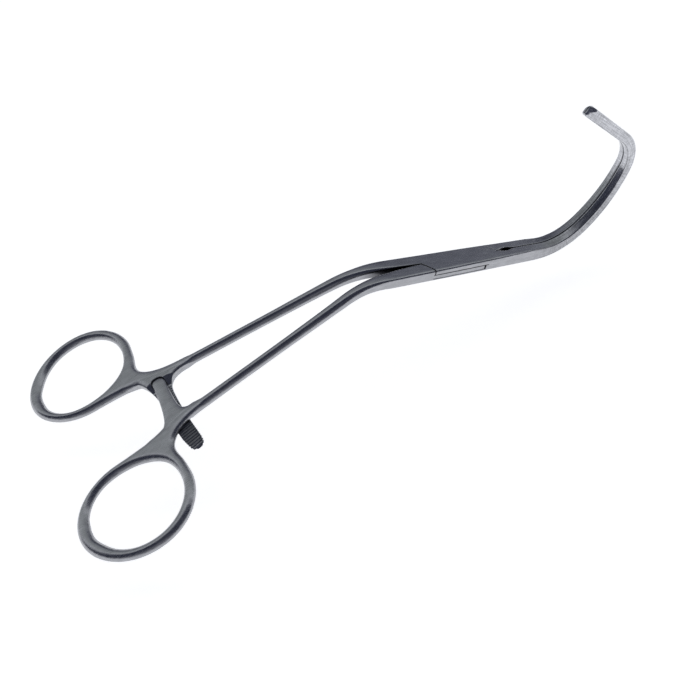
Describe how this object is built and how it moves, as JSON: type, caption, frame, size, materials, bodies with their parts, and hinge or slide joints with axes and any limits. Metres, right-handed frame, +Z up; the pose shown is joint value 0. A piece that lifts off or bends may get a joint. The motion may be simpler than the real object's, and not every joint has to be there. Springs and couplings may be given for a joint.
{
  "type": "aortic clamp",
  "caption": "Ring-handled vascular clamp with a box lock, ratchet, bent shanks and jaws that rise and hook back around a large vessel.",
  "frame": {"origin": "on the table, under the middle of the closed clamp's bounding box, as it lies on its two rings and its jaws", "axes": "+X from the finger rings towards the jaws, +Y towards the box half's finger ring, +Z up from the table"},
  "size_m": [0.2198, 0.09, 0.0591],
  "materials": {
    "satin_steel": "satin-ground stainless steel, finely brushed",
    "rivet_steel": "ground flush, a little brighter"
  },
  "bodies": {
    "box_half": {"box_finger_ring": "satin_steel", "box_shank": "satin_steel", "box_ratchet_bar": "satin_steel", "lock_box": "satin_steel", "box_jaw": "satin_steel", "pivot_pin": "rivet_steel"},
    "tongue_half": {"tongue_finger_ring": "satin_steel", "tongue_shank": "satin_steel", "tongue_ratchet_bar": "satin_steel", "lock_tongue": "satin_steel", "tongue_jaw": "satin_steel"}
  },
  "joints": [
    {"name": "box_lock_hinge", "type": "hinge", "parent": "box_half", "child": "tongue_half", "pos_m": [0.0383, 0, 0.01417], "axis": [0.3006, 0, 0.9537], "range_deg": [0, 35]}
  ]
}
